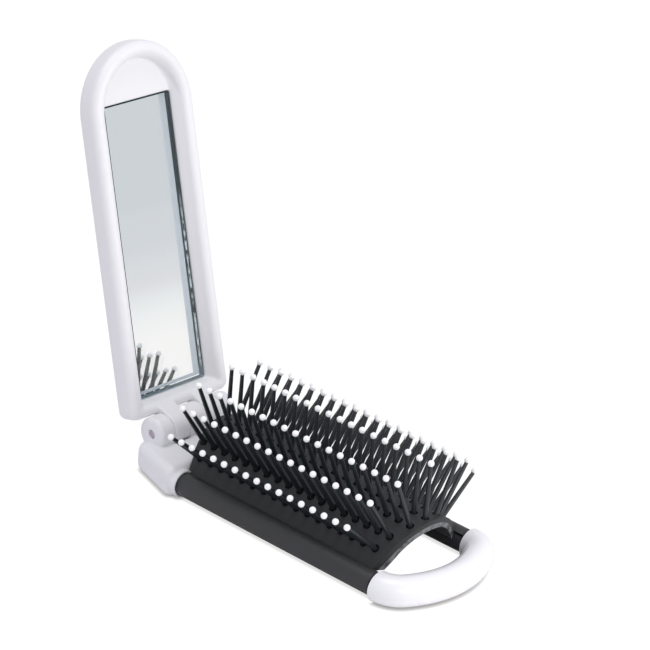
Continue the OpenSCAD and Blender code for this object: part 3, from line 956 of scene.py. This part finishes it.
class BRUSH_OT_stage(bpy.types.Operator):
    """Set the floor, the lamps, the surroundings and the camera"""

    bl_idname = "brush.stage"
    bl_label = "Stage"

    camera_azimuth = math.radians(-49.227)
    camera_elevation = math.radians(24.343)
    camera_roll = math.radians(5.192)
    camera_distance = 723.82 * MM
    camera_target = Vector((3.621, -40.593, 51.802)) * MM
    camera_lens = 162.12

    def execute(self, context):
        self.add_camera(context.scene)
        self.add_floor()
        self.add_world(context.scene)
        for lamp in LAMPS:
            self.add_lamp(*lamp)
        context.scene.view_settings.view_transform = "Standard"
        return {"FINISHED"}

    def add_camera(self, scene):
        az, el, roll = self.camera_azimuth, self.camera_elevation, self.camera_roll
        back = Vector((math.sin(az) * math.cos(el), -math.cos(az) * math.cos(el), math.sin(el)))
        right = (-back).cross(Vector((0, 0, 1))).normalized()
        up = back.cross(right)
        right, up = (
            right * math.cos(roll) + up * math.sin(roll),
            up * math.cos(roll) - right * math.sin(roll),
        )
        data = bpy.data.cameras.new("camera")
        data.lens = self.camera_lens
        data.clip_start = 0.01
        camera = bpy.data.objects.new("camera", data)
        scene.collection.objects.link(camera)
        turn = Matrix((right, up, back)).transposed().to_4x4()
        place = self.camera_target + back * self.camera_distance
        camera.matrix_world = Matrix.Translation(place) @ turn
        scene.camera = camera

    def add_floor(self):
        """A white floor: plain white where it is seen, with the brush's shadow close about it."""
        put_down_all()
        bpy.ops.mesh.primitive_plane_add(size=FLOOR_SIZE, location=(0, 0, -FLOOR_DROP))
        floor = new_piece("floor")
        material = bpy.data.materials.new("Floor")
        material.use_nodes = True
        tree = material.node_tree
        nodes = tree.nodes
        nodes.clear()
        out = nodes.new("ShaderNodeOutputMaterial")
        matt = tinted(nodes, "BsdfDiffuse", FLOOR_MATT)
        path = nodes.new("ShaderNodeLightPath")
        contact = nodes.new("ShaderNodeAmbientOcclusion")
        contact.inputs["Distance"].default_value = CONTACT_REACH
        contact.samples = 8
        shade = colour_mix(nodes, CONTACT_SHADE, colours().backdrop)
        seen_light = nodes.new("ShaderNodeEmission")
        seen_light.inputs["Strength"].default_value = FLOOR_SEEN_STRENGTH
        seen_part = calculation(nodes, "Math", "MULTIPLY", FLOOR_SEEN_SHARE)
        seen = nodes.new("ShaderNodeMixShader")
        link(tree, contact.outputs["AO"], shade.inputs["Factor"])
        link(tree, shade.outputs["Result"], seen_light.inputs["Color"])
        link(tree, path.outputs["Is Camera Ray"], seen_part.inputs[0])
        link(tree, seen_part.outputs[0], seen.inputs["Fac"])
        link(tree, matt.outputs["BSDF"], seen.inputs[1])
        link(tree, seen_light.outputs["Emission"], seen.inputs[2])
        place = nodes.new("ShaderNodeTexCoord")
        far = calculation(nodes, "VectorMath", "LENGTH")
        fade = map_range(nodes, *MIRRORED_FADE)
        ramp = nodes.new("ShaderNodeValToRGB")
        stops = ramp.color_ramp.elements
        stops[0].position, stops[0].color = 0.0, (*MIRRORED_NEAR, 1)
        stops[1].position, stops[1].color = 1.0, (*MIRRORED_FAR, 1)
        for position, tint in MIRRORED_BETWEEN:
            stops.new(position).color = (*tint, 1)
        mirrored_light = nodes.new("ShaderNodeEmission")
        clear = map_range(nodes, *MIRRORED_CLEAR)
        clear_rays = calculation(nodes, "Math", "MULTIPLY")
        mirrored = nodes.new("ShaderNodeMixShader")
        link(tree, place.outputs["Object"], far.inputs[0])
        link(tree, far.outputs["Value"], fade.inputs["Value"])
        link(tree, fade.outputs["Result"], ramp.inputs["Fac"])
        link(tree, ramp.outputs["Color"], mirrored_light.inputs["Color"])
        link(tree, far.outputs["Value"], clear.inputs["Value"])
        link(tree, mirrored_rays(tree, path), clear_rays.inputs[0])
        link(tree, clear.outputs["Result"], clear_rays.inputs[1])
        link(tree, clear_rays.outputs[0], mirrored.inputs["Fac"])
        link(tree, seen.outputs["Shader"], mirrored.inputs[1])
        link(tree, mirrored_light.outputs["Emission"], mirrored.inputs[2])
        link(tree, mirrored.outputs["Shader"], out.inputs["Surface"])
        floor.data.materials.append(material)

    def add_world(self, scene):
        """Soft cool light all round, white where it is seen and grey where it is mirrored."""
        world = bpy.data.worlds.new("Surroundings")
        world.use_nodes = True
        scene.world = world
        tree = world.node_tree
        nodes = tree.nodes
        nodes.clear()
        out = nodes.new("ShaderNodeOutputWorld")
        soft = tinted(nodes, "Background", WORLD_SOFT)
        mirrored = tinted(nodes, "Background", WORLD_MIRRORED)
        seen = tinted(nodes, "Background", WORLD_SEEN)
        path = nodes.new("ShaderNodeLightPath")
        inner = nodes.new("ShaderNodeMixShader")
        outer = nodes.new("ShaderNodeMixShader")
        link(tree, mirrored_rays(tree, path), inner.inputs["Fac"])
        link(tree, soft.outputs["Background"], inner.inputs[1])
        link(tree, mirrored.outputs["Background"], inner.inputs[2])
        link(tree, path.outputs["Is Camera Ray"], outer.inputs["Fac"])
        link(tree, inner.outputs["Shader"], outer.inputs[1])
        link(tree, seen.outputs["Background"], outer.inputs[2])
        link(tree, outer.outputs["Shader"], out.inputs["Surface"])

    def add_lamp(self, name, place, size, power, tint):
        """A soft square lamp, turned to the middle of the brush."""
        data = bpy.data.lights.new(name, "AREA")
        data.size = size
        data.energy = power
        data.color = tint
        lamp = bpy.data.objects.new(name, data)
        bpy.context.scene.collection.objects.link(lamp)
        lamp.location = place
        aim = LAMP_AIM - Vector(place)
        lamp.rotation_euler = aim.to_track_quat("-Z", "Y").to_euler()


PIECE_OPERATORS = (
    BRUSH_OT_end_loop, BRUSH_OT_rails, BRUSH_OT_hinge_block, BRUSH_OT_hinge_pin,
    BRUSH_OT_bristle_pad, BRUSH_OT_bristles, BRUSH_OT_ball_tips, BRUSH_OT_cover, BRUSH_OT_mirror,
)


class BRUSH_PT_panel(bpy.types.Panel):
    """Lists the brush's pieces in the sidebar."""

    bl_idname = "BRUSH_PT_panel"
    bl_label = "Folding hairbrush"
    bl_space_type = "VIEW_3D"
    bl_region_type = "UI"
    bl_category = "Hairbrush"

    def draw(self, context):
        for operator in (*PIECE_OPERATORS, BRUSH_OT_stage):
            self.layout.operator(operator.bl_idname, text=operator.bl_label)
        for group in (context.scene.brush_sizes, context.scene.brush_colours):
            for key in group.__annotations__:
                self.layout.prop(group, key)


CLASSES = (BrushSizes, BrushColours, *PIECE_OPERATORS, BRUSH_OT_stage, BRUSH_PT_panel)


def register():
    for cls in CLASSES:
        bpy.utils.register_class(cls)
    bpy.types.Scene.brush_sizes = bpy.props.PointerProperty(type=BrushSizes)
    bpy.types.Scene.brush_colours = bpy.props.PointerProperty(type=BrushColours)


def unregister():
    del bpy.types.Scene.brush_colours
    del bpy.types.Scene.brush_sizes
    for cls in reversed(CLASSES):
        bpy.utils.unregister_class(cls)


def main():
    register()
    bpy.ops.brush.stage()
    bpy.ops.brush.end_loop()
    bpy.ops.brush.rails()
    bpy.ops.brush.hinge_block()
    bpy.ops.brush.hinge_pin()
    bpy.ops.brush.bristle_pad()
    bpy.ops.brush.bristles()
    bpy.ops.brush.ball_tips()
    bpy.ops.brush.cover()
    bpy.ops.brush.mirror()


if __name__ == "__main__":
    main()
